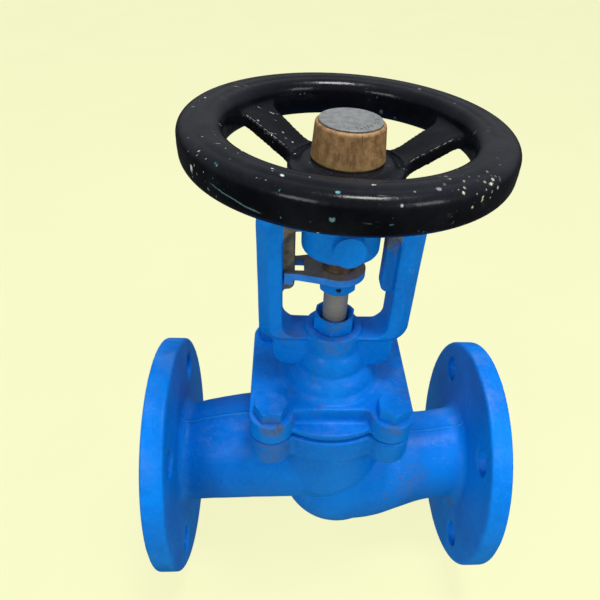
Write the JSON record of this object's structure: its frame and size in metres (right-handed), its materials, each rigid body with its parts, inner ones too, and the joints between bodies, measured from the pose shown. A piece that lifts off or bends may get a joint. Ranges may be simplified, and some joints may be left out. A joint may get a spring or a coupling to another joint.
{
  "type": "globe valve",
  "caption": "Flanged bellows-seal globe valve: S-shaped cast body, bolted bonnet with yoke, rising non-turning stem with anti-rotation plate, black handwheel.",
  "frame": {"origin": "crossing of the pipe axis and the stem axis", "axes": "+X along the pipe towards the inlet flange, +Z along the stem towards the handwheel, -Y is the front with the locking screw boss"},
  "size_m": [0.23, 0.165, 0.318],
  "materials": {
    "body_enamel": "satin azure enamel on rough cast iron",
    "bonnet_enamel": "satin azure enamel on cast iron",
    "bolt_enamel": "satin azure enamel over steel bolts",
    "gland_enamel": "satin azure enamel, worn at the edges",
    "collar_enamel": "satin azure enamel, worn at the edges",
    "lock_enamel": "satin azure enamel",
    "plate_steel": "grey-brown steel with enamel on its edges",
    "wheel_black": "gloss black enamel, chipped",
    "nut_bronze": "dull brown cast bronze",
    "label_alu": "etched grey label disc",
    "stem_steel": "ground stainless steel",
    "screw_steel": "dark steel",
    "bush_bronze": "machined bronze",
    "inner_steel": "turned stainless steel",
    "washer_steel": "hardened steel",
    "ring_steel": "turned steel",
    "key_steel": "bright key steel",
    "graphite": "pressed graphite"
  },
  "bodies": {
    "casing": {"body": "body_enamel", "bonnet": "bonnet_enamel", "bonnet_gasket": "graphite", "bonnet_bolts": "bolt_enamel", "seat_ring": "inner_steel", "bellows_upper_ring": "inner_steel", "bellows": "inner_steel", "packing_base_ring": "ring_steel", "packing_rings": "graphite", "gland_follower": "ring_steel", "gland_nut": "gland_enamel", "thrust_washers": "washer_steel", "bush_retaining_ring": "ring_steel", "lock_screw": "lock_enamel"},
    "wheel": {"handwheel": "wheel_black", "wheel_nut": "nut_bronze", "name_plate": "label_alu", "yoke_bush": "bush_bronze", "wheel_key": "key_steel"},
    "stem_group": {"stem": "stem_steel", "disc": "inner_steel", "disc_retainer": "inner_steel", "bellows_lower_ring": "inner_steel", "collar_nut": "collar_enamel", "collar_set_screw": "screw_steel", "anti_rotation_plate": "plate_steel"}
  },
  "joints": [
    {"name": "wheel_turn", "type": "hinge", "parent": "casing", "child": "wheel", "pos_m": [0, 0, 0.2], "axis": [0, 0, 1], "range_deg": [-1440, 0]},
    {"name": "stem_lift", "type": "slide", "parent": "casing", "child": "stem_group", "axis": [0, 0, 1], "range_m": [-0.01202, 0], "deforming": ["bellows"]}
  ],
  "couplings": [
    {"joint": "stem_lift", "follows": "wheel_turn", "m_per_rad": 0.00047746}
  ]
}
